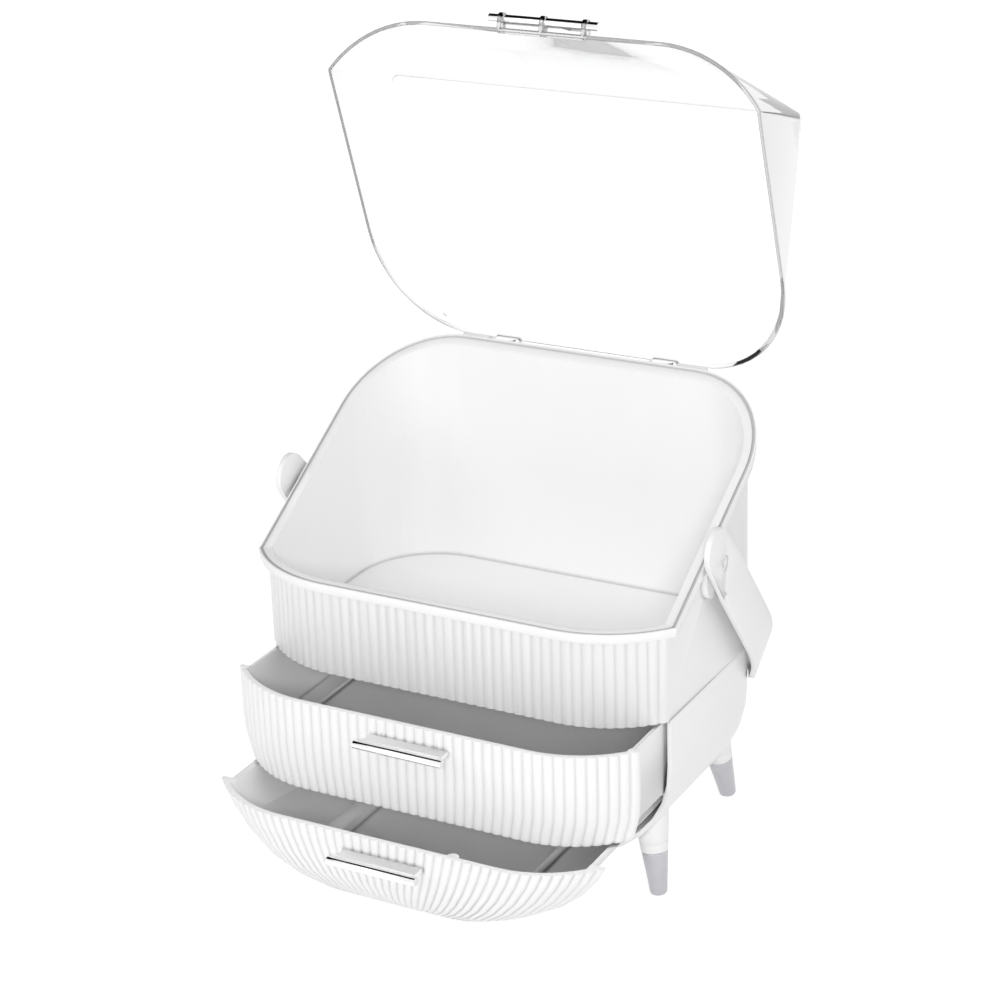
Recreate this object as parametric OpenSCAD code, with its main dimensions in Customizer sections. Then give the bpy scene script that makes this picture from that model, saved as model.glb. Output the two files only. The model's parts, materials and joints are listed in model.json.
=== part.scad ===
// Dustproof makeup organizer: a clear flip-up lid over an open tray, two drawers with
// ribbed bow fronts in a belly-shaped cabinet, a swinging carry handle and splayed legs.
// The lid is drawn open, the drawers partly out and the handle hanging behind the case.

/* [Case] */
// Width of the case across its side walls
case_w = 290; // [270:1:310]
// Depth of the case from the front ribs to the back wall
case_d = 197; // [190:1:215]
// Depth of the bowed front, from the ribs to where the side wall starts
bow_d = 30.7; // [27:0.1:34]
// Width of each bowed corner across the case
bow_w = 63.5; // [56:0.5:70]
// Radius of the back corners
back_r = 59; // [50:1:66]
// Wall thickness of the case mouldings
wall = 2.8; // [2.2:0.1:3.2]
// Height of the seam between the tray and the cabinet
seam_z = 130; // [128:0.5:134]
// Thickness of the tray floor
floor_t = 2.8; // [2:0.1:3.4]
// Height of the tray rim at the front
rim_front_z = 196; // [188:1:202]
// Height of the tray rim at the back wall
rim_back_z = 293; // [280:1:300]
// Height of the flange round the rim
flange_h = 6; // [5:0.5:8]
// How far the rim flange stands out
flange_out = 5.5; // [5:0.1:6]
// Distance from the wall to the middle of the groove in the rim
groove_at = 3.5; // [3.2:0.1:3.7]
// Width of the groove in the rim
groove_w = 2; // [1.6:0.1:2.2]
// Depth of the groove in the rim
groove_h = 1.5; // [1.2:0.1:2.5]

/* [Ribs] */
// Distance from one rib to the next along the front
rib_pitch = 6.87; // [5:0.05:9]
// Depth of the grooves between the ribs
rib_h = 1.25; // [0.6:0.05:1.4]

/* [Cabinet] */
// Height at which the cabinet sides start to curve inwards
belly_z = 98; // [94:1:102]
// Height of the belly's underside
belly_bottom = 8; // [6:0.5:12]
// Roundness of the belly: 2 is an ellipse, more is squarer
belly_n = 2.3; // [2.1:0.05:2.6]
// Radius under the front and the back of the belly
under_r = 34; // [30:0.5:38]
// Width of the rails that carry the upper drawer
rail_w = 7; // [5:0.5:9]
// Thickness of the rails that carry the upper drawer
rail_t = 3; // [2:0.5:4]

/* [Drawers] */
// How far the upper drawer stands open
upper_open = 41.6; // [10:0.1:90]
// How far the lower drawer stands open
lower_open = 79.4; // [10:0.1:110]
// Height of the split between the two drawer fronts
split_z = 67; // [64:0.5:70]
// Gap round the drawer fronts
front_gap = 0.6; // [0.4:0.1:1.2]
// Thickness of the drawer fronts
front_t = 4; // [3:0.1:5]
// Wall thickness of the drawer boxes
box_t = 2.2; // [1.6:0.1:2.8]
// Gap between the drawer boxes and the cabinet's walls
box_gap = 2.8; // [1.5:0.1:3.5]
// Gap between the lower drawer's box and the cabinet's floor
under_gap = 1.7; // [1.2:0.1:2.4]
// Running gap under the drawer boxes
glide_gap = 0.4; // [0.3:0.05:0.8]
// How far the drawer boxes stay short of the back wall
box_back_gap = 6; // [3:0.5:12]
// How far the upper box's floor sits above its front's lower edge
upper_floor_up = 11; // [8:0.5:14]
// Width of the lip round the lower box's sides
lip_w = 4.5; // [3:0.5:6]
// Thickness of the lip round the lower box's sides
lip_t = 2; // [1.5:0.1:3]
// Wall thickness of the lower drawer's dividers
divider_t = 1.6; // [1.2:0.1:2.4]
// Gap round the drawer dividers
divider_gap = 0.3; // [0.2:0.05:0.6]
// Height of the upper drawer's floor divider
upper_divider_h = 3.5; // [2:0.5:12]
// Place of the upper drawer's floor divider across the case
upper_divider_x = -119; // [-122:1:-100]
// Thickness of the upper drawer's floor divider
upper_divider_t = 2; // [1.6:0.1:6]
// Distance from the middle to the lower drawer's two floor dividers
floor_divider_x = 72; // [50:1:80]
// Height of the top of the lower drawer's floor dividers
floor_divider_z = 30.5; // [29:0.5:34]
// Width of the lower drawer's channel divider
channel_w = 11; // [8:0.5:16]
// Place of the lower drawer's stop across the case
stop_x = 47; // [30:1:60]
// Radius of the lower drawer's stop
stop_r = 4; // [3:0.1:5]
// How far the stop stays below the lower drawer's edge
stop_down = 1; // [0.5:0.1:3]

/* [Pulls] */
// Length of the drawer pull bars
pull_len = 63; // [50:1:80]
// Diameter of the drawer pull bars
pull_d = 5.6; // [4:0.1:7]
// Distance from the ribs to the middle of a drawer pull bar
pull_out = 13.8; // [10:0.1:18]
// Distance from a front's top edge down to its pull bar
pull_down = 12.5; // [9:0.5:20]
// Width of the brackets that carry the pull bars
bracket_w = 56; // [46:1:62]
// Thickness of the bracket plate
bracket_t = 3; // [2.4:0.1:4]
// Distance between a bracket's two screws
screw_span = 40; // [30:1:46]
// Diameter of the bracket screws
screw_d = 1.6; // [1.4:0.1:1.8]

/* [Lid] */
// How far the lid stands open
lid_open = 102.25; // [90:0.25:105]
// How far the lid's frame stands out from the case wall
lid_out = 7.4; // [7:0.1:7.5]
// Height of the lid's frame
frame_t = 2.5; // [2:0.1:3.5]
// Gap between the lid's frame and the tray rim
lid_gap = 0.3; // [0.2:0.05:0.6]
// Wall thickness of the clear lid
lid_t = 2; // [1.6:0.1:2.6]
// Distance from the front ribs back to the lid's crease
crease_y = 31; // [26:1:40]
// Height of the lid's crease when it is shut
crease_z = 273; // [262:1:280]
// Height of the lid's top at the back when it is shut
lid_back_z = 299; // [297:0.5:304]
// Width of the lid's top at the crease
crease_w = 298; // [270:1:302]
// Width of the lid's top at the back
lid_back_w = 236; // [210:1:260]
// Length of the lid's pull bar
lid_pull_len = 76.6; // [60:1:90]
// Distance from the ribs forward to the middle of the lid's pull bar
lid_pull_out = 13; // [12:0.1:15]
// Height of the lid's pull bar above the rim's front when the lid is shut
lid_pull_up = 4.6; // [4:0.1:6]
// Width of the tab that carries the lid's pull bar
tab_w = 62; // [50:1:72]

/* [Hinge] */
// Distance from the back wall to the hinge pin
hinge_out = 9.5; // [9:0.1:11]
// Height of the hinge pin
hinge_z = 292.5; // [291:0.5:294]
// Diameter of the hinge knuckles
knuckle_d = 7.4; // [6:0.1:7.6]
// Diameter of the hinge pins
pin_d = 2.4; // [2:0.1:3]
// Distance from the middle to the inner end of the lid's knuckles
knuckle_x = 50; // [40:1:56]
// Length of the lid's knuckles
lid_knuckle_l = 17.5; // [14:0.5:20]
// Gap between the lid's knuckles and the case's
knuckle_gap = 3; // [0.5:0.5:4]
// Length of the case's knuckles
case_knuckle_l = 20; // [14:0.5:24]
// Gap between a pin and the bore that turns on it
run_gap = 0.05; // [0.02:0.01:0.1]
// Gap between a pin and the bore that holds it
hold_gap = 0.01; // [0.01:0.01:0.02]

/* [Handle] */
// Angle of the hanging handle's arms below level
handle_drop = 51.8; // [50:0.1:54]
// Distance from the front ribs back to the handle's pivot
pivot_y = 87.5; // [86:0.5:90]
// Height of the handle's pivot
pivot_z = 216.4; // [215:0.1:218]
// Gap between the back wall and the hanging grip
grip_gap = 3.2; // [3:0.1:6]
// Radius of the handle's corners
handle_r = 89; // [86:1:92]
// Thickness of the handle's band
band_t = 4; // [3:0.1:4.5]
// Gap between the lid's frame and the handle's arms
arm_gap = 0.8; // [0.6:0.1:1.5]
// Radius of the handle's round ends
hub_r = 15; // [14:0.5:16]
// Distance from the pivot to the middle of the round end
hub_back = 14.5; // [12:0.5:16]
// Width of an arm on the side that faces up when it hangs
arm_up = 17; // [16:0.1:18]
// Width of an arm on the side that faces down when it hangs
arm_down = 16.5; // [15:0.1:17]
// Width of the grip
grip_w = 11.2; // [9:0.1:11.2]
// Diameter of the studs that the handle turns on
stud_d = 10; // [8:0.5:12]
// Diameter of the collars behind the handle's arms
collar_d = 13; // [12:0.5:13]
// Width of the keyhole slot below each stud
keyhole_w = 6; // [4:0.5:7]
// Length of the keyhole slot below each stud
keyhole_l = 22; // [16:0.5:24]
// Width of the pad on the side wall behind each stud
pad_w = 18; // [14:0.5:20]
// Distance from a stud down to the middle of its pad's round end
pad_l = 16; // [10:0.5:20]
// Thickness of the pads
pad_t = 4; // [2:0.1:5]

/* [Legs] */
// Distance from the side walls in to the front feet
front_foot_side = 13.6; // [12:0.2:18]
// Distance from the front ribs back to the front feet
front_foot_y = 40.7; // [40:0.1:46]
// Distance from the side walls in to the back feet
back_foot_side = 26.8; // [25:0.2:32]
// Distance from the back wall forward to the back feet
back_foot_in = 17.3; // [17:0.1:24]
// Lean of the legs across the case for each millimetre of height
lean_x = 0.161; // [0.13:0.001:0.18]
// Lean of the legs along the case for each millimetre of height
lean_y = 0.142; // [0.12:0.001:0.16]
// Radius of a leg tip at the floor
tip_r = 5.8; // [5:0.1:6.5]
// Widening of a leg's radius for each millimetre of length
leg_taper = 0.103; // [0.08:0.001:0.12]
// Length of the metal tips
tip_l = 29; // [24:0.5:32]
// Length from the floor to the seat of the leg under the cabinet
leg_l = 35; // [34:0.5:36]
// Radius of the spigots at both ends of a leg
spigot_r = 5; // [4:0.1:5.5]
// Length of the spigots at both ends of a leg
spigot_l = 6; // [4:0.5:6]
// Radius of the rounding at the foot of a leg tip
tip_round = 3.5; // [2:0.1:4]

/* [Hidden] */
eps = 0.01;
trim = 0.3;
half_w = case_w / 2;
far = 2 * case_w;

// Front outline: a straight stretch that turns into an arc on each side
bow_r = (bow_w * bow_w + bow_d * bow_d) / (2 * bow_d);
bow_angle = asin(bow_w / bow_r);
flat_half = half_w - bow_w;
front_half = flat_half + bow_r * bow_angle * PI / 180;
rib_count = round(2 * front_half / rib_pitch);
rib_step = 2 * front_half / rib_count;
rib_points = 5;
rib_power = 2.4;

// Heights that follow from the seam and the split
tray_floor_z = seam_z + wall / 2 + floor_t;
upper_top_z = seam_z - front_gap;
upper_low_z = split_z + front_gap / 2;
lower_top_z = split_z - front_gap / 2;
upper_box_z = upper_low_z + upper_floor_up;
belly_h = belly_z - belly_bottom;
under_z = belly_bottom + under_r;
belly_end = 83;
front_end_y = bow_d + rib_h;
cabinet_y = front_end_y + front_gap;
box_back_y = case_d - wall - box_back_gap;
lower_out = wall + box_gap + lip_w - box_t;
rail_l = 105;

// Hinge and lid
hinge_y = case_d + hinge_out;
lid_reach = turned_y([crease_y, crease_z]);
knuckle_reach = hinge_y + knuckle_d / 2;
case_knuckle_x = knuckle_x + lid_knuckle_l + knuckle_gap;
pin_l = case_knuckle_x + case_knuckle_l - knuckle_x;

// Legs
front_foot_x = half_w - front_foot_side;
back_foot_x = half_w - back_foot_side;

// Handle
grip_low = arm_up - grip_w;
handle_l = band_t + (case_d + grip_gap - pivot_y - grip_low * sin(handle_drop)) / cos(handle_drop);
arm_x = half_w + lid_out + arm_gap;
stud_end_x = arm_x + band_t - 0.8;
collar_end_x = arm_x - 0.3;

// The model's origin is the middle of its box in plan, on the floor
front_reach = lower_open + pull_out + pull_d / 2;
origin_y = (max(lid_reach, knuckle_reach) - front_reach) / 2;

// Far edge, in plan, of a point of the shut lid once the lid is opened
function turned_y(p) = hinge_y + (p[0] - hinge_y) * cos(lid_open) + (p[1] - hinge_z) * sin(lid_open);

// Height of the rim above a distance y from the front
function rim_z(y) = rim_front_z + max(0, y - bow_d) * (rim_back_z - rim_front_z) / (case_d - bow_d);

// Point of the front outline at a distance s along it, moved out by off
function front_point(s, off) =
    let (turn = max(abs(s) - flat_half, 0) / bow_r * 180 / PI)
    turn == 0 ? [s, -off]
        : [sign(s) * (flat_half + (bow_r + off) * sin(turn)), bow_r - (bow_r + off) * cos(turn)];

// Ribbed front outline, from the left end to the right one
function ribbed_front() = [for (i = [0:rib_count - 1], j = [0:rib_points - 1])
    front_point(-front_half + (i + j / rib_points) * rib_step,
        -rib_h * pow(abs(2 * j / rib_points - 1), rib_power)),
    front_point(front_half, -rib_h)];

// Smooth front outline, moved out by off, from x = -end_x to end_x
function smooth_front(off, end_x, steps = 14) =
    let (turn = asin((end_x - flat_half) / (bow_r + off)),
        side = [for (i = [0:steps])
            [flat_half + (bow_r + off) * sin(turn * i / steps),
                bow_r - (bow_r + off) * cos(turn * i / steps)]])
    concat(flipped(side), side);

// The points mirrored to the other side, in reverse order
function flipped(points) = [for (i = [len(points) - 1:-1:0]) [-points[i][0], points[i][1]]];

// Right back corner of the case, moved out by off
function back_corner(off, steps = 14) = [for (i = [0:steps])
    [half_w - back_r + (back_r + off) * cos(90 * i / steps),
        case_d - back_r + (back_r + off) * sin(90 * i / steps)]];

function plan(off) = concat(smooth_front(off, half_w + off), back_corner(off), flipped(back_corner(off)));
function ribbed_plan() = concat(ribbed_front(), back_corner(0), flipped(back_corner(0)));

// Belly: half width, and how far the front and back draw in, at a height z.
// t is the inset from the sides, u the inset from the underside
function belly_half(z, t, u) =
    (half_w - t) * pow(1 - pow(min(max((belly_z - z) / (belly_h - u), 0), 1), belly_n), 1 / belly_n);
function drawn_in(z, u) = z >= under_z ? 0
    : under_r - u - sqrt(max(pow(under_r - u, 2) - pow(under_z - z, 2), 0));

// Heights of the belly's rings from low to top
function belly_low(u) = belly_z - (belly_h - u) * sin(belly_end);
function belly_levels(u, low, top, steps = 9) = concat([low],
    [for (i = [steps:-1:0]) let (z = belly_z - (belly_h - u) * sin(belly_end * i / steps))
        if (z > low + 0.5 && z < top - 0.5) z], [top]);

// The belly's right back corner at a height z
function belly_corner(z, t, u, steps = 12) =
    let (s = belly_half(z, t, u) / (half_w - t), r = back_r - t, back = case_d - t - drawn_in(z, u))
    [for (i = [0:steps]) [(half_w - back_r) * s + r * s * cos(90 * i / steps),
        back - r + r * sin(90 * i / steps)]];

// A front outline drawn in with the belly at a height z
function belly_front(outline, z, t, u) =
    let (s = belly_half(z, t, u) / (half_w - t), y_in = drawn_in(z, u))
    [for (p = outline) [p[0] * s, p[1] >= bow_d ? p[1] : y_in + p[1] * (bow_d - y_in) / bow_d]];

function level_ring(points, z) = [for (p = points) [p[0], p[1], z]];

// Rings at a height z: the belly cut off straight at y_front, a drawer front closed at y_back,
// and the whole belly behind a front outline
function belly_ring(z, t, u, y_front) =
    let (side = concat([[belly_half(z, t, u), y_front]], belly_corner(z, t, u)))
    level_ring(concat(side, flipped(side)), z);
function front_ring(outline, z, t, u, y_back) =
    let (front = belly_front(outline, z, t, u), end_x = front[len(front) - 1][0])
    level_ring(concat(front, [[end_x, y_back], [-end_x, y_back]]), z);
function room_ring(outline, z, t, u) =
    let (side = belly_corner(z, t, u))
    level_ring(concat(belly_front(outline, z, t, u), side, flipped(side)), z);

// Solid through rings of equally many points, each ring level and counterclockwise
module loft(rings) {
    n = len(rings[0]);
    m = len(rings);
    points = [for (ring = rings) each ring];
    sides = [for (k = [0:m - 2], i = [0:n - 1])
        let (a = k * n + i, b = k * n + (i + 1) % n)
        each [[a, a + n, b + n], [a, b + n, b]]];
    polyhedron(points,
        concat([[for (i = [0:n - 1]) i]], sides, [[for (i = [n - 1:-1:0]) (m - 1) * n + i]]),
        convexity = 6);
}

// Keeps what lies between two heights, and between y0 and y1
module between(low, top, y0 = -far, y1 = far) {
    intersection() {
        children();
        translate([-far, y0, low]) cube([2 * far, y1 - y0, top - low]);
    }
}

module placed() {
    translate([0, -origin_y, 0]) children();
}

module opened_lid() {
    placed() translate([0, hinge_y, hinge_z]) rotate([-lid_open, 0, 0])
        translate([0, -hinge_y, -hinge_z]) children();
}

module pulled_out(distance) {
    placed() translate([0, -distance, 0]) children();
}

// Everything below the rim's line, lowered by drop, from height low
module below_rim(drop, low = seam_z) {
    end_y = case_d + case_w / 8;
    rotate([90, 0, 90]) linear_extrude(far, center = true)
        polygon([[-far, low], [end_y, low], [end_y, rim_z(end_y) - drop],
            [bow_d, rim_front_z - drop], [-far, rim_front_z - drop]]);
}

// Band that follows the rim, between two offsets from the wall and two drops from the rim
module rim_band(inner, outer, top_drop, low_drop) {
    difference() {
        intersection() {
            linear_extrude(far) polygon(plan(outer));
            below_rim(top_drop);
        }
        linear_extrude(far) polygon(plan(inner));
        below_rim(low_drop, 0);
    }
}

module rod_x(d, x0, x1) {
    translate([x0, 0, 0]) rotate([0, 90, 0]) cylinder(d = d, h = x1 - x0);
}

module both_sides() {
    children();
    mirror([1, 0, 0]) children();
}

// Pad on the right side wall with a round lower end, from which the handle's stud stands out
module stud_pad() {
    translate([half_w - wall / 2, pivot_y, pivot_z]) rotate([90, 0, 90])
        linear_extrude(wall / 2 + pad_t) {
            circle(d = pad_w);
            translate([0, -pad_l]) circle(d = pad_w);
            translate([-pad_w / 2, -pad_l]) square([pad_w, pad_l]);
        }
}

module case_knuckle() {
    web_h = 4.5;
    translate([case_knuckle_x, hinge_y, hinge_z]) {
        rod_x(knuckle_d, 0, case_knuckle_l);
        translate([0, flange_out - hinge_out - 1, -knuckle_d / 2])
            cube([case_knuckle_l, hinge_out - flange_out + 1, web_h]);
    }
}

module upper_case() {
    color("white") placed() difference() {
        union() {
            intersection() {
                translate([0, 0, seam_z]) linear_extrude(far) polygon(ribbed_plan());
                below_rim(0);
            }
            rim_band(-wall / 2, flange_out, 0, flange_h);
            both_sides() case_knuckle();
            both_sides() stud_pad();
            both_sides() translate([0, pivot_y, pivot_z]) {
                rod_x(collar_d, half_w - wall / 2, collar_end_x);
                rod_x(stud_d, half_w, stud_end_x);
            }
        }
        translate([0, 0, tray_floor_z]) linear_extrude(far) polygon(plan(-wall));
        translate([0, 0, seam_z - eps]) linear_extrude(tray_floor_z - floor_t - seam_z + eps)
            polygon(plan(-wall));
        rim_band(groove_at - groove_w / 2, groove_at + groove_w / 2, -10, groove_h);
        both_sides() translate([0, hinge_y, hinge_z])
            rod_x(pin_d + 2 * hold_gap, case_knuckle_x - eps, case_knuckle_x + case_knuckle_l + eps);
        both_sides() translate([0, pivot_y, pivot_z]) rod_x(stud_d - 3, arm_x - band_t, stud_end_x + eps);
    }
}

// A leg's own frame: the floor point of one foot, with Z along the leaning leg
module at_foot(x, y, back) {
    side = sign(x);
    lean = [-side * lean_x, back * lean_y, 1];
    translate([x, y, 0]) rotate(a = acos(1 / norm(lean)), v = cross([0, 0, 1], lean)) children();
}

module at_front_feet(side) {
    at_foot(side * front_foot_x, front_foot_y, 1) children();
}

module at_back_feet(side) {
    at_foot(side * back_foot_x, case_d - back_foot_in, -1) children();
}

function leg_r(h) = tip_r + leg_taper * h;

module leg_boss() {
    boss_top = 66;
    translate([0, 0, leg_l]) cylinder(r1 = leg_r(leg_l), r2 = leg_r(boss_top), h = boss_top - leg_l);
}

module leg_socket() {
    translate([0, 0, leg_l - eps]) cylinder(r = spigot_r + run_gap, h = spigot_l + 0.5);
}

module belly(t, u, y_front, low, top) {
    loft([for (z = belly_levels(u, low, top)) belly_ring(z, t, u, y_front)]);
}

// One rail for the upper drawer, moulded on the right wall
module rail() {
    rail_z = upper_box_z - glide_gap - rail_t;
    translate([half_w - wall - rail_w, cabinet_y + 2, rail_z]) cube([rail_w, rail_l, rail_t]);
}

// Runner for the lower drawer, moulded on the cabinet's floor
module runner() {
    runner_w = 3;
    runner_x = 12;
    translate([runner_x, cabinet_y + 2, belly_bottom])
        cube([runner_w, rail_l, wall + under_gap - glide_gap]);
}

module lower_cabinet() {
    color("white") placed() difference() {
        union() {
            difference() {
                union() {
                    belly(0, 0, cabinet_y, belly_low(0), seam_z);
                    for (side = [-1, 1]) {
                        at_front_feet(side) leg_boss();
                        at_back_feet(side) leg_boss();
                    }
                }
                belly(wall, wall, 0, belly_low(wall), seam_z + 1);
            }
            intersection() {
                both_sides() union() {
                    rail();
                    runner();
                }
                belly(wall / 2, wall / 2, cabinet_y, belly_low(wall / 2), seam_z);
            }
        }
        for (side = [-1, 1]) {
            at_front_feet(side) leg_socket();
            at_back_feet(side) leg_socket();
        }
    }
}

// Front of a drawer between two heights, before it is hollowed
module front_block(low, top) {
    between(low, top)
        loft([for (z = belly_levels(0, low - trim, top + trim))
            front_ring(ribbed_front(), z, 0, 0, front_end_y)]);
}

// Space behind the upper drawer's front, inset by t from the sides
module front_space(t, low, top) {
    outline = smooth_front(-front_t, half_w - t);
    between(low, top)
        loft([for (z = belly_levels(0, low - trim, top + trim))
            front_ring(outline, z, t, 0, cabinet_y + 1)]);
}

// Plan of the upper drawer's box, inset by t
module upper_box_plan(t) {
    half = half_w - wall - box_gap - t;
    cut = back_r - 10;
    y0 = bow_d - 3;
    y1 = box_back_y - t;
    polygon([[half, y0], [half, y1 - cut], [half - cut, y1], [cut - half, y1], [-half, y1 - cut],
        [-half, y0]]);
}

module upper_drawer() {
    floor_top = upper_box_z + box_t;
    side_top = upper_top_z - 1.5;
    side_in = wall + box_gap + box_t;
    color("white") pulled_out(upper_open) difference() {
        union() {
            front_block(upper_low_z, upper_top_z);
            translate([0, 0, upper_box_z]) linear_extrude(side_top - upper_box_z) upper_box_plan(0);
        }
        front_space(side_in, floor_top, upper_top_z + 1);
        front_space(side_in, upper_low_z - 1, upper_box_z);
        translate([0, 0, floor_top]) linear_extrude(upper_top_z) upper_box_plan(box_t);
        pull_screw_holes(upper_top_z);
    }
}

module upper_divider() {
    color("white") pulled_out(upper_open) translate([0, 0, upper_box_z + box_t]) intersection() {
        linear_extrude(upper_divider_h) upper_box_plan(box_t + divider_gap);
        translate([upper_divider_x - upper_divider_t / 2, 0, 0])
            cube([upper_divider_t, case_d, upper_divider_h]);
    }
}

// The lower drawer's box: the belly inset by t from the sides and u from below
module lower_box(t, u, top) {
    between(belly_low(u), top, bow_d - 3, box_back_y) belly(t, u, 0, belly_low(u) - trim, top + trim);
}

module lower_drawer() {
    side_top = lower_top_z - 1;
    color("white") pulled_out(lower_open) union() {
        difference() {
            union() {
                front_block(belly_low(0), lower_top_z);
                lower_box(lower_out, wall + under_gap, side_top);
                between(side_top - lip_t, side_top)
                    lower_box(wall + box_gap, wall + under_gap, side_top + 1);
            }
            lower_room(0, lower_top_z + 1);
            pull_screw_holes(lower_top_z);
        }
        drawer_stop();
    }
}

// Half-round stop on the back of the lower drawer's front
module drawer_stop() {
    translate([stop_x, front_t + 1.5, under_z])
        cylinder(r = stop_r, h = lower_top_z - stop_down - under_z, $fn = 32);
}

// Room inside the lower drawer, kept clear of its walls by gap
module lower_room(gap, top) {
    t = lower_out + box_t + gap;
    u = wall + under_gap + box_t + gap;
    outline = smooth_front(-front_t - gap, half_w - t);
    between(belly_low(u), top, -far, box_back_y - box_t - gap)
        loft([for (z = belly_levels(u, belly_low(u) - trim, top + trim)) room_ring(outline, z, t, u)]);
}

// Channel divider: a low upside-down U that runs along the lower drawer's floor
module channel_divider() {
    color("white") pulled_out(lower_open) intersection() {
        lower_room(divider_gap, floor_divider_z);
        translate([-floor_divider_x - channel_w / 2, 0, 0]) difference() {
            cube([channel_w, case_d, floor_divider_z]);
            translate([divider_t, -1, -divider_t])
                cube([channel_w - 2 * divider_t, case_d + 2, floor_divider_z]);
        }
    }
}

module side_divider() {
    color("white") pulled_out(lower_open) intersection() {
        lower_room(divider_gap, floor_divider_z);
        translate([floor_divider_x - divider_t / 2, 0, 0]) cube([divider_t, case_d, floor_divider_z]);
    }
}

module at_screws(top) {
    for (side = [-1, 1]) translate([side * screw_span / 2, 0, top - pull_down]) rotate([90, 0, 0])
        children();
}

module pull_screw_holes(top) {
    at_screws(top) translate([0, 0, -front_t - 1]) cylinder(d = screw_d + 2 * run_gap, h = front_t + 2);
}

// Bracket of a drawer pull: a plate from the ribs out to a seat behind the bar
module pull_bracket(top) {
    cup_d = pull_d + 2 * 1.2;
    seat_back = 1.9;
    hole_l = 8;
    translate([0, 0, top - pull_down]) difference() {
        union() {
            translate([-bracket_w / 2, -pull_out, -bracket_t / 2]) cube([bracket_w, pull_out, bracket_t]);
            translate([0, -pull_out, 0]) rod_x(cup_d, -bracket_w / 2, bracket_w / 2);
        }
        translate([0, -pull_out, 0]) rod_x(pull_d + 2 * hold_gap, -bracket_w, bracket_w);
        translate([-bracket_w, seat_back - pull_out - cup_d, -cup_d])
            cube([2 * bracket_w, cup_d, 2 * cup_d]);
        at_screws(pull_down) translate([0, 0, -1]) cylinder(d = screw_d + 2 * hold_gap, h = hole_l);
    }
}

module pull_bar(top) {
    translate([0, -pull_out, top - pull_down]) rod_x(pull_d, -pull_len / 2, pull_len / 2);
}

module pull_screws(top) {
    head_d = 4.4;
    head_h = 1.4;
    at_screws(top) {
        translate([0, 0, -front_t - head_h]) cylinder(d = head_d, h = head_h);
        translate([0, 0, -front_t - eps]) cylinder(d = screw_d, h = front_t + 6);
    }
}

module upper_pull_bracket() { color("white") pulled_out(upper_open) pull_bracket(upper_top_z); }
module upper_pull_bar() { color("silver") pulled_out(upper_open) pull_bar(upper_top_z); }
module upper_pull_screws() { color("silver") pulled_out(upper_open) pull_screws(upper_top_z); }
module lower_pull_bracket() { color("white") pulled_out(lower_open) pull_bracket(lower_top_z); }
module lower_pull_bar() { color("silver") pulled_out(lower_open) pull_bar(lower_top_z); }
module lower_pull_screws() { color("silver") pulled_out(lower_open) pull_screws(lower_top_z); }

// Solid form of the shut lid, inset by t on all sides but its open one
module lid_form(t) {
    low = lid_gap + (t > 0 ? -2 : 0);
    crease_r = 4;
    back_top_r = 12;
    hull() {
        intersection() {
            linear_extrude(far) polygon(plan(lid_out - t));
            difference() {
                below_rim(-low - 1);
                below_rim(-low, 0);
            }
        }
        for (side = [-1, 1]) {
            translate([side * (crease_w / 2 - t - crease_r), crease_y + t + crease_r, crease_z - 1 - t])
                cylinder(r = crease_r, h = 1, $fn = 24);
            translate([side * (lid_back_w / 2 - t - back_top_r), case_d - 2 - t - back_top_r,
                lid_back_z - 1 - t])
                cylinder(r = back_top_r, h = 1, $fn = 24);
        }
    }
}

module lid_knuckle() {
    web_t = 3.2;
    translate([knuckle_x, hinge_y, hinge_z]) {
        rod_x(knuckle_d, 0, lid_knuckle_l);
        rotate([90, 0, 90]) linear_extrude(lid_knuckle_l)
            polygon([[-web_t, 0.8], [knuckle_d / 2, 0], [0, 7], [lid_out - hinge_out - 2, 7.5],
                [lid_out - hinge_out - 2, 5.5]]);
    }
}

module lid_tab() {
    bar_y = -lid_pull_out;
    bar_z = rim_front_z + lid_pull_up;
    plate_t = 2;
    ring_w = 3;
    ring_d = pull_d + 2 * 1.2;
    translate([-tab_w / 2, bar_y, bar_z - plate_t / 2])
        cube([tab_w, lid_pull_out - lid_out + lid_t, plate_t]);
    for (x = [-tab_w / 2, -ring_w / 2, tab_w / 2 - ring_w]) translate([x, bar_y, bar_z]) {
        rod_x(ring_d, 0, ring_w);
        translate([0, 0, -ring_d / 2]) cube([ring_w, lid_pull_out - lid_out + lid_t / 2, ring_d]);
    }
}

module lid() {
    color("lightcyan", 0.35) opened_lid() difference() {
        union() {
            lid_form(0);
            rim_band(groove_at, lid_out, -lid_gap - frame_t, -lid_gap);
            both_sides() lid_knuckle();
            lid_tab();
        }
        lid_form(lid_t);
        translate([0, -lid_pull_out, rim_front_z + lid_pull_up])
            rod_x(pull_d + 2 * hold_gap, -tab_w, tab_w);
        both_sides() translate([0, hinge_y, hinge_z])
            rod_x(pin_d + 2 * run_gap, knuckle_x - eps, knuckle_x + lid_knuckle_l + eps);
    }
}

module lid_pull_bar() {
    color("silver") opened_lid() translate([0, -lid_pull_out, rim_front_z + lid_pull_up])
        rod_x(pull_d, -lid_pull_len / 2, lid_pull_len / 2);
}

module hinge_pin() {
    placed() translate([0, hinge_y, hinge_z]) rod_x(pin_d, knuckle_x, knuckle_x + pin_l);
}

module hinge_pin_left() { color("silver") mirror([1, 0, 0]) hinge_pin(); }
module hinge_pin_right() { color("silver") hinge_pin(); }

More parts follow.
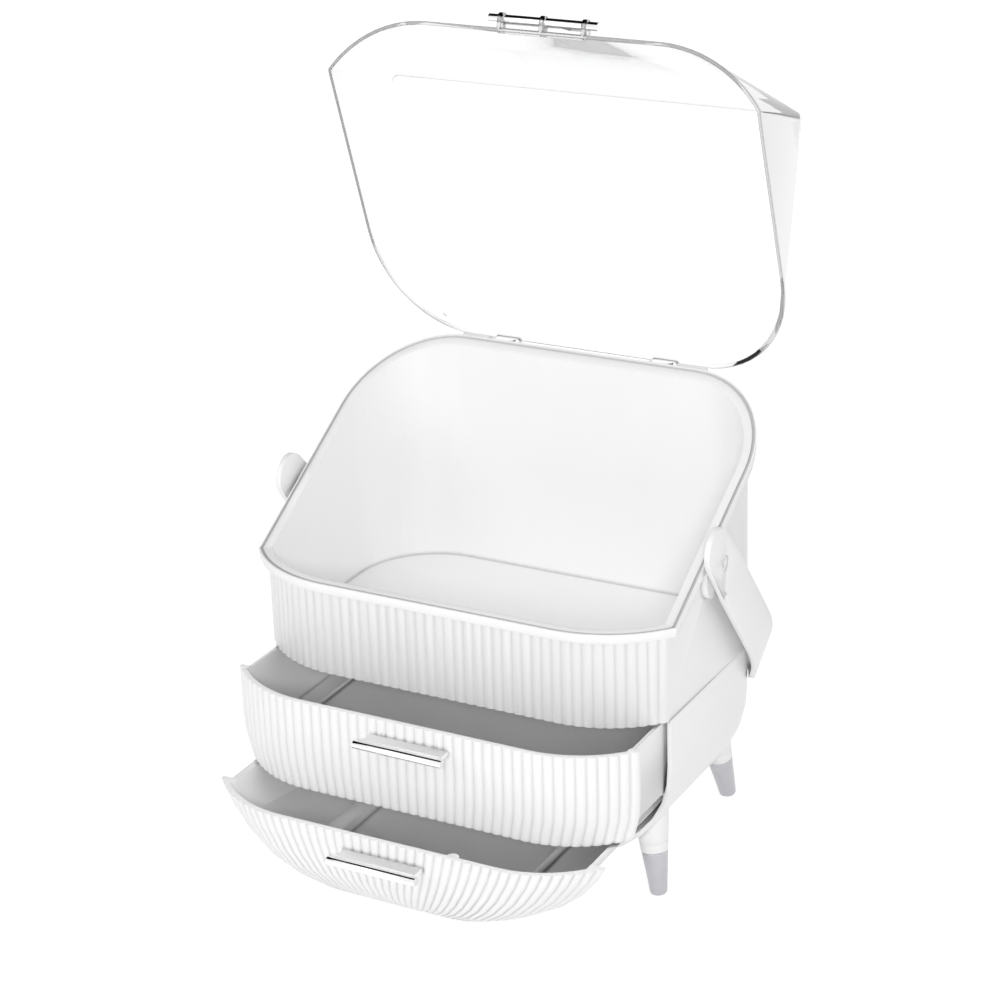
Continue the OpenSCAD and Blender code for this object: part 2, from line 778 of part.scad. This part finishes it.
// Side view of the handle in its own frame: X along the arms, Y across them.
// Behind the case the arms narrow in two steps to the grip
module handle_side() {
    neck = 20;
    shoulder_x = handle_l - 49.7;
    middle_x = handle_l - 36.7;
    middle_low = -4;
    grip_x = handle_l - 15.7;
    hull() {
        translate([-hub_back, 0]) circle(r = hub_r);
        translate([neck, -arm_down]) square([neck, arm_down + arm_up]);
    }
    polygon([[neck, -arm_down], [shoulder_x, -arm_down], [middle_x, middle_low], [grip_x, grip_low],
        [handle_l + 1, grip_low], [handle_l + 1, arm_up], [neck, arm_up]]);
}

// The handle's band seen square on: X across the case, Y along the arms
module handle_band(t) {
    half = arm_x + band_t - t;
    reach = handle_l - t;
    r = handle_r - t;
    for (side = [-1, 1]) translate([side * (half - r), reach - r]) circle(r = r);
    translate([-half + r, reach - 2 * r]) square([2 * (half - r), 2 * r]);
    translate([-half, -hub_back - hub_r - 1 - t]) square([2 * half, reach - r + hub_back + hub_r + 1 + t]);
}

module carry_handle() {
    color("white") placed() translate([0, pivot_y, pivot_z]) rotate([-handle_drop, 0, 0]) difference() {
        intersection() {
            translate([0, 0, -arm_down - 1]) linear_extrude(arm_down + arm_up + 2) difference() {
                handle_band(0);
                handle_band(band_t);
            }
            rotate([90, 0, 90]) linear_extrude(far, center = true) handle_side();
        }
        rod_x(stud_d + 2 * run_gap, -case_w, case_w);
        rotate([handle_drop, 0, 0]) translate([-case_w, -keyhole_w / 2, -keyhole_l])
            cube([2 * case_w, keyhole_w, keyhole_l]);
    }
}

module leg_body() {
    translate([0, 0, tip_l]) cylinder(r1 = leg_r(tip_l), r2 = leg_r(leg_l), h = leg_l - tip_l);
    translate([0, 0, tip_l - spigot_l]) cylinder(r = spigot_r - run_gap, h = leg_l - tip_l + 2 * spigot_l);
}

// Metal tip: a cone rounded at its foot, with a socket for the leg's spigot
module tip_body() {
    sink = 1.2;
    steps = 6;
    foot_r = leg_r(0) - tip_round;
    difference() {
        rotate_extrude() polygon(concat([[0, -sink]],
            [for (i = [0:steps]) [foot_r + tip_round * sin(90 * i / steps),
                tip_round - sink - tip_round * cos(90 * i / steps)]],
            [[leg_r(tip_l), tip_l], [0, tip_l]]));
        translate([0, 0, tip_l - spigot_l - 0.5]) cylinder(r = spigot_r, h = spigot_l + 1);
    }
}

module above_floor() {
    intersection() {
        children();
        translate([-far, -far, 0]) cube([2 * far, 2 * far, far]);
    }
}

module front_leg(side) { color("white") placed() at_front_feet(side) leg_body(); }
module back_leg(side) { color("white") placed() at_back_feet(side) leg_body(); }
module front_tip(side) { color("silver") placed() above_floor() at_front_feet(side) tip_body(); }
module back_tip(side) { color("silver") placed() above_floor() at_back_feet(side) tip_body(); }

module leg_front_left() { front_leg(-1); }
module leg_front_right() { front_leg(1); }
module leg_back_left() { back_leg(-1); }
module leg_back_right() { back_leg(1); }
module tip_front_left() { front_tip(-1); }
module tip_front_right() { front_tip(1); }
module tip_back_left() { back_tip(-1); }
module tip_back_right() { back_tip(1); }

upper_case();
lower_cabinet();
lid();
lid_pull_bar();
hinge_pin_left();
hinge_pin_right();
upper_drawer();
upper_divider();
upper_pull_bracket();
upper_pull_bar();
upper_pull_screws();
lower_drawer();
channel_divider();
side_divider();
lower_pull_bracket();
lower_pull_bar();
lower_pull_screws();
carry_handle();
leg_front_left();
leg_front_right();
leg_back_left();
leg_back_right();
tip_front_left();
tip_front_right();
tip_back_left();
tip_back_right();
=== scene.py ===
import json
import math

import bpy
from mathutils import Matrix, Vector

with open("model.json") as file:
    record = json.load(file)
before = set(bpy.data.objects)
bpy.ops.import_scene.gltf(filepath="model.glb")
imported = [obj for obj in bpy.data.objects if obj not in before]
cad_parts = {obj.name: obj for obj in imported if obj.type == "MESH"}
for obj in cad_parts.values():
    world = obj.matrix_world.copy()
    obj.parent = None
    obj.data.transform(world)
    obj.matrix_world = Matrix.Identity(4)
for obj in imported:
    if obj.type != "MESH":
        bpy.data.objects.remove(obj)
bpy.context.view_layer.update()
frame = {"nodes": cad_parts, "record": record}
nodes = frame["nodes"]

# Camera: the angle in degrees, the distance and the lens at which the object is seen
CAMERA_AZIMUTH = 29.08
CAMERA_ELEVATION = 22.56
CAMERA_ROLL = -2.0
CAMERA_DISTANCE = 1.7454
CAMERA_TARGET = Vector((0.0005, 0.0205, 0.2334))
CAMERA_LENS = 97.86
CAMERA_SENSOR = 36.0
CAMERA_REACH = 100.0

# Lamps, as name, azimuth, elevation, distance, size, power and whether gloss mirrors the lamp
LAMPS = [
    ("key", 29, 23, 2.6, 0.4, 22, True),
    ("left", -32, 27, 2.6, 1.6, 11, True),
    ("fill", 95, 22, 2.6, 1.6, 5, True),
    ("top", -10, 78, 2.4, 1.6, 5, False),
]
LAMP_TARGET = Vector((0.0, 0.0, 0.2))

# Surroundings: strength of the world as light and as the camera sees it
WORLD_LIGHT = 0.53
WORLD_SEEN = 1.0

# Floor: its own glow as the camera sees it, its colour and half its width
FLOOR_GLOW = 0.55
FLOOR_COLOUR = (0.9, 0.9, 0.9, 1)
FLOOR_HALF = 12.0

# Dark cards above and behind: colour, half their width, and their reach in height and in depth
FLAG_COLOUR = (0.01, 0.01, 0.01, 1)
FLAG_HALF = 2.6
FLAG_TOP, FLAG_LOW = 2.3, 1.0
FLAG_NEAR, FLAG_BACK = -0.7, 3.0

# Plastics bend light by this index, and white ones get painted shade in grooves up to this wide
PLASTIC_IOR = 1.49
GROOVE_SHADE_REACH = 0.003

# Clear plastic: the width and colour of the painted dark line along its edges, which stands in for the
# dark edges that refraction gives, and how far the rounded normal agrees with the face's own where that
# line begins and where it is full
EDGE_WIDTH = 0.0022
PAINTED_EDGE_SHADE = (0.1, 0.1, 0.105, 1)
EDGE_AGREEMENT = (0.99, 0.85)

# Clear plastic: the ray depth past which rays go straight on, and what each surface then lets
# through to the camera and to light
BENDING_DEPTH = 1.5
DEEP_CLEAR = (0.74, 0.74, 0.74, 1)
LIGHT_CLEAR = (0.98, 0.98, 0.98, 1)

# CAD edges: radius and least angle of their rounding, and the gap across which vertices join
EDGE_RADIUS = 0.0003
EDGE_ANGLE = 35.0
WELD_GAP = 0.00002


# ---------------------------------------------------------------- shader nodes

def show(tree, surface):
    """Links a shader to the material's output, in place of what was linked there."""
    output = next(node for node in tree.nodes if node.type == "OUTPUT_MATERIAL")
    tree.links.new(surface, output.inputs["Surface"])


def new_material(name):
    material = bpy.data.materials.new(name)
    material.use_nodes = True
    tree = material.node_tree
    tree.nodes.clear()
    tree.nodes.new("ShaderNodeOutputMaterial")
    shader = tree.nodes.new("ShaderNodeBsdfPrincipled")
    show(tree, shader.outputs["BSDF"])
    return material, tree, shader


def noise(tree, scale, detail):
    coords = tree.nodes.new("ShaderNodeTexCoord")
    node = tree.nodes.new("ShaderNodeTexNoise")
    node.inputs["Scale"].default_value = scale
    node.inputs["Detail"].default_value = detail
    node.inputs["Roughness"].default_value = 0.5
    tree.links.new(coords.outputs["Object"], node.inputs["Vector"])
    return node.outputs["Fac"]


def remapped(tree, value, to_range, from_range=(0.0, 1.0)):
    node = tree.nodes.new("ShaderNodeMapRange")
    node.inputs["From Min"].default_value, node.inputs["From Max"].default_value = from_range
    node.inputs["To Min"].default_value, node.inputs["To Max"].default_value = to_range
    tree.links.new(value, node.inputs["Value"])
    return node.outputs["Result"]


def colour_ramp(tree, value, low, high):
    ramp = tree.nodes.new("ShaderNodeValToRGB")
    ramp.color_ramp.elements[0].position = 0.3
    ramp.color_ramp.elements[1].position = 0.7
    ramp.color_ramp.elements[0].color = (*low, 1)
    ramp.color_ramp.elements[1].color = (*high, 1)
    tree.links.new(value, ramp.inputs["Fac"])
    return ramp.outputs["Color"]


def bump(tree, shader, height, strength, distance):
    node = tree.nodes.new("ShaderNodeBump")
    node.inputs["Strength"].default_value = strength
    node.inputs["Distance"].default_value = distance
    tree.links.new(height, node.inputs["Height"])
    tree.links.new(node.outputs["Normal"], shader.inputs["Normal"])


def either(tree, first, second):
    node = tree.nodes.new("ShaderNodeMath")
    node.operation = "MAXIMUM"
    tree.links.new(first, node.inputs[0])
    tree.links.new(second, node.inputs[1])
    return node.outputs[0]


def mixed_shaders(tree, share, first, second):
    node = tree.nodes.new("ShaderNodeMixShader")
    tree.links.new(share, node.inputs[0])
    tree.links.new(first, node.inputs[1])
    tree.links.new(second, node.inputs[2])
    return node.outputs[0]


def see_through(tree, colour):
    node = tree.nodes.new("ShaderNodeBsdfTransparent")
    node.inputs["Color"].default_value = colour
    return node.outputs["BSDF"]


def seen_directly(tree):
    """1 for what the camera sees, by itself, in gloss or through clear plastic, and 0 for light."""
    path = tree.nodes.new("ShaderNodeLightPath")
    seen = path.outputs["Is Camera Ray"]
    for ray in ("Is Glossy Ray", "Is Transmission Ray"):
        seen = either(tree, seen, path.outputs[ray])
    return seen


def shaded_in_grooves(tree, colour, depth):
    """A colour with painted shade: it darkens by the share depth in narrow grooves and seams, as ambient
    occlusion finds them.
    """
    occlusion = tree.nodes.new("ShaderNodeAmbientOcclusion")
    occlusion.samples = 6
    occlusion.inputs["Distance"].default_value = GROOVE_SHADE_REACH
    level = remapped(tree, occlusion.outputs["AO"], (1.0 - depth, 1.0), from_range=(0.55, 0.95))
    mixed = tree.nodes.new("ShaderNodeMix")
    mixed.data_type = "RGBA"
    mixed.blend_type = "MULTIPLY"
    mixed.inputs["Factor"].default_value = 1.0
    tree.links.new(colour, mixed.inputs["A"])
    tree.links.new(level, mixed.inputs["B"])
    return mixed.outputs["Result"]


def painted_edge_mask(tree):
    """1 along a piece's edges and 0 elsewhere, from how far a rounded normal leaves the face's own: the
    mask of the painted edge shade.
    """
    rounded = tree.nodes.new("ShaderNodeBevel")
    rounded.samples = 4
    rounded.inputs["Radius"].default_value = EDGE_WIDTH
    geometry = tree.nodes.new("ShaderNodeNewGeometry")
    agree = tree.nodes.new("ShaderNodeVectorMath")
    agree.operation = "DOT_PRODUCT"
    tree.links.new(rounded.outputs["Normal"], agree.inputs[0])
    tree.links.new(geometry.outputs["Normal"], agree.inputs[1])
    return remapped(tree, agree.outputs["Value"], (0.0, 1.0), from_range=EDGE_AGREEMENT)


# ---------------------------------------------------------------- materials

def moulded_plastic(name, white, roughness, grain, groove_shade):
    """White satin plastic: a faint flow variation in colour and gloss over a fine mould grain, and painted
    shade in its grooves.
    """
    material, tree, shader = new_material(name)
    flow = noise(tree, scale=18.0, detail=2.0)
    colour = colour_ramp(tree, flow, low=(white * 0.985,) * 3, high=(white,) * 3)
    # Painted shade: the colour darkens in narrow grooves and seams
    tree.links.new(shaded_in_grooves(tree, colour, groove_shade), shader.inputs["Base Color"])
    gloss = remapped(tree, noise(tree, scale=60.0, detail=4.0), (roughness - 0.04, roughness + 0.05))
    tree.links.new(gloss, shader.inputs["Roughness"])
    shader.inputs["IOR"].default_value = PLASTIC_IOR
    bump(tree, shader, noise(tree, scale=900.0, detail=2.0), strength=grain, distance=0.00012)
    return material


def clear_plastic(name):
    """Polished clear plastic with a painted dark line along its edges, which stands in for the shade that
    refraction gives them.
    """
    material, tree, shader = new_material(name)
    haze = noise(tree, scale=7.0, detail=2.0)
    tree.links.new(remapped(tree, haze, (0.0, 0.01)), shader.inputs["Roughness"])
    clear = colour_ramp(tree, haze, low=(0.985, 0.99, 0.99), high=(0.995, 0.995, 0.995))
    # Painted shade: a dark grey line along the edges, in place of the dark edges that refraction gives
    edge_shaded = tree.nodes.new("ShaderNodeMix")
    edge_shaded.data_type = "RGBA"
    edge_shaded.inputs["B"].default_value = PAINTED_EDGE_SHADE
    tree.links.new(painted_edge_mask(tree), edge_shaded.inputs["Factor"])
    tree.links.new(clear, edge_shaded.inputs["A"])
    tree.links.new(edge_shaded.outputs["Result"], shader.inputs["Base Color"])
    shader.inputs["IOR"].default_value = PLASTIC_IOR
    shader.inputs["Transmission Weight"].default_value = 1.0
    bump(tree, shader, noise(tree, scale=25.0, detail=1.0), strength=0.03, distance=0.0003)

    # After the first surface a ray goes straight on, so that deep layers don't end in black
    path = tree.nodes.new("ShaderNodeLightPath")
    deep = tree.nodes.new("ShaderNodeMath")
    deep.operation = "GREATER_THAN"
    deep.inputs[1].default_value = BENDING_DEPTH
    tree.links.new(path.outputs["Ray Depth"], deep.inputs[0])
    layered = mixed_shaders(tree, deep.outputs[0], shader.outputs["BSDF"], see_through(tree, DEEP_CLEAR))

    # Lamps and bounced light pass the clear walls, so what stands under the lid stays lit
    light = either(tree, path.outputs["Is Shadow Ray"], path.outputs["Is Diffuse Ray"])
    show(tree, mixed_shaders(tree, light, layered, see_through(tree, LIGHT_CLEAR)))
    return material


def plated_metal(name, colour, roughness):
    """Metal with a faint smear in its colour and gloss."""
    material, tree, shader = new_material(name)
    smear = noise(tree, scale=120.0, detail=3.0)
    tree.links.new(remapped(tree, smear, (roughness, roughness + 0.05)), shader.inputs["Roughness"])
    low = [channel * 0.94 for channel in colour]
    tree.links.new(colour_ramp(tree, smear, low, high=colour), shader.inputs["Base Color"])
    shader.inputs["Metallic"].default_value = 1.0
    bump(tree, shader, noise(tree, scale=500.0, detail=2.0), strength=0.05, distance=0.00005)
    return material


WHITE = moulded_plastic("white_plastic", white=0.92, roughness=0.34, grain=0.12, groove_shade=0.4)
INNER_WHITE = moulded_plastic("inner_white_plastic", white=0.93, roughness=0.42, grain=0.2, groove_shade=0.5)
BRACKET_WHITE = moulded_plastic("bracket_white_plastic", white=0.96, roughness=0.5, grain=0.1, groove_shade=0.0)
CLEAR = clear_plastic("clear_plastic")
CHROME = plated_metal("chrome", colour=(0.93, 0.93, 0.94), roughness=0.04)
STEEL = plated_metal("steel", colour=(0.55, 0.55, 0.57), roughness=0.28)
TIP = plated_metal("tip_metal", colour=(0.46, 0.46, 0.48), roughness=0.12)

FINISHES = {
    "case_white": WHITE, "drawer_white": INNER_WHITE, "bracket_white": BRACKET_WHITE, "handle_white": WHITE,
    "leg_white": WHITE, "clear_lid": CLEAR, "chrome": CHROME, "steel_pin": STEEL, "tip_metal": TIP,
}


# ---------------------------------------------------------------- pieces

def dress_cad_nodes():
    slots = {part["node"]: part["material_slot"] for part in frame["record"]["subparts"]}
    for name, node in nodes.items():
        node.data.materials.clear()
        node.data.materials.append(FINISHES[slots[name]])


def soften(node):
    """Welds a CAD node's seams, rounds its edges a little and smooths its shading, all as modifiers."""
    weld = node.modifiers.new("weld", "WELD")
    weld.merge_threshold = WELD_GAP
    bevel = node.modifiers.new("round_edges", "BEVEL")
    bevel.width = EDGE_RADIUS
    bevel.segments = 2
    bevel.limit_method = "ANGLE"
    bevel.angle_limit = math.radians(EDGE_ANGLE)
    bevel.harden_normals = True
    node.data.shade_smooth()


# ---------------------------------------------------------------- stage

def stage_mesh(name, corners, material):
    mesh = bpy.data.meshes.new(name)
    mesh.from_pydata(corners, [], [(0, 1, 2, 3)])
    card = bpy.data.objects.new(name, mesh)
    bpy.context.scene.collection.objects.link(card)
    card.data.materials.append(material)
    return card


def make_floor():
    """Pale floor that the camera, gloss and glass see brighter, with the object's shadow still on it."""
    material, tree, shader = new_material("floor_white")
    shader.inputs["Base Color"].default_value = FLOOR_COLOUR
    shader.inputs["Roughness"].default_value = 0.9
    glow = tree.nodes.new("ShaderNodeEmission")
    tree.links.new(remapped(tree, seen_directly(tree), (0.0, FLOOR_GLOW)), glow.inputs["Strength"])
    both = tree.nodes.new("ShaderNodeAddShader")
    tree.links.new(shader.outputs["BSDF"], both.inputs[0])
    tree.links.new(glow.outputs[0], both.inputs[1])
    show(tree, both.outputs[0])
    half = FLOOR_HALF
    stage_mesh("floor", [(-half, -half, 0), (half, -half, 0), (half, half, 0), (-half, half, 0)], material)


def make_flags():
    """Dark cards above and behind, which only gloss sees, so that metal and clear edges read."""
    material, tree, shader = new_material("flag_black")
    shader.inputs["Base Color"].default_value = FLAG_COLOUR
    shader.inputs["Roughness"].default_value = 1.0
    shader.inputs["Specular IOR Level"].default_value = 0.0
    half, top, low, near, back = FLAG_HALF, FLAG_TOP, FLAG_LOW, FLAG_NEAR, FLAG_BACK
    cards = [
        ("flag_top", [(-half, near, top), (half, near, top), (half, back, top), (-half, back, top)]),
        ("flag_back", [(-half, back, low), (half, back, low), (half, back, top), (-half, back, top)]),
        ("flag_left", [(-half, near, low), (-half, back, low), (-half, back, top), (-half, near, top)]),
        ("flag_right", [(half, near, low), (half, back, low), (half, back, top), (half, near, top)]),
    ]
    for name, corners in cards:
        card = stage_mesh(name, corners, material)
        card.visible_camera = False
        card.visible_diffuse = False
        card.visible_transmission = False
        card.visible_shadow = False


def make_world():
    """Plain white surroundings, dimmer as light than as the camera sees them."""
    world = bpy.data.worlds.new("studio")
    bpy.context.scene.world = world
    world.use_nodes = True
    tree = world.node_tree
    tree.nodes.clear()
    output = tree.nodes.new("ShaderNodeOutputWorld")
    backgrounds = []
    for strength in (WORLD_LIGHT, WORLD_SEEN):
        background = tree.nodes.new("ShaderNodeBackground")
        background.inputs["Color"].default_value = (1, 1, 1, 1)
        background.inputs["Strength"].default_value = strength
        backgrounds.append(background.outputs[0])
    tree.links.new(mixed_shaders(tree, seen_directly(tree), *backgrounds), output.inputs["Surface"])


def direction(azimuth, elevation):
    """Unit vector out from the object, for degrees round from the front and up from level."""
    turn, rise = math.radians(azimuth), math.radians(elevation)
    return Vector((math.sin(turn) * math.cos(rise), -math.cos(turn) * math.cos(rise), math.sin(rise)))


def make_lamp(name, azimuth, elevation, distance, size, power, mirrored):
    data = bpy.data.lights.new(name, "AREA")
    data.size = size
    data.energy = power
    lamp = bpy.data.objects.new(name, data)
    bpy.context.scene.collection.objects.link(lamp)
    outward = direction(azimuth, elevation)
    lamp.location = LAMP_TARGET + outward * distance
    lamp.rotation_euler = (-outward).to_track_quat("-Z", "Y").to_euler()
    lamp.visible_glossy = mirrored


def make_camera():
    back = direction(CAMERA_AZIMUTH, CAMERA_ELEVATION)
    roll = math.radians(CAMERA_ROLL)
    level = (-back).cross(Vector((0, 0, 1))).normalized()
    rise = level.cross(-back)
    right = level * math.cos(roll) + rise * math.sin(roll)
    up = rise * math.cos(roll) - level * math.sin(roll)
    data = bpy.data.cameras.new("camera")
    data.lens = CAMERA_LENS
    data.sensor_width = CAMERA_SENSOR
    data.clip_end = CAMERA_REACH
    camera = bpy.data.objects.new("camera", data)
    bpy.context.scene.collection.objects.link(camera)
    turn = Matrix((right, up, back)).transposed().to_4x4()
    camera.matrix_world = Matrix.Translation(CAMERA_TARGET + back * CAMERA_DISTANCE) @ turn
    bpy.context.scene.camera = camera


dress_cad_nodes()
for node in nodes.values():
    soften(node)
make_floor()
make_flags()
make_world()
for lamp in LAMPS:
    make_lamp(*lamp)
make_camera()
bpy.context.scene.view_settings.view_transform = "Standard"
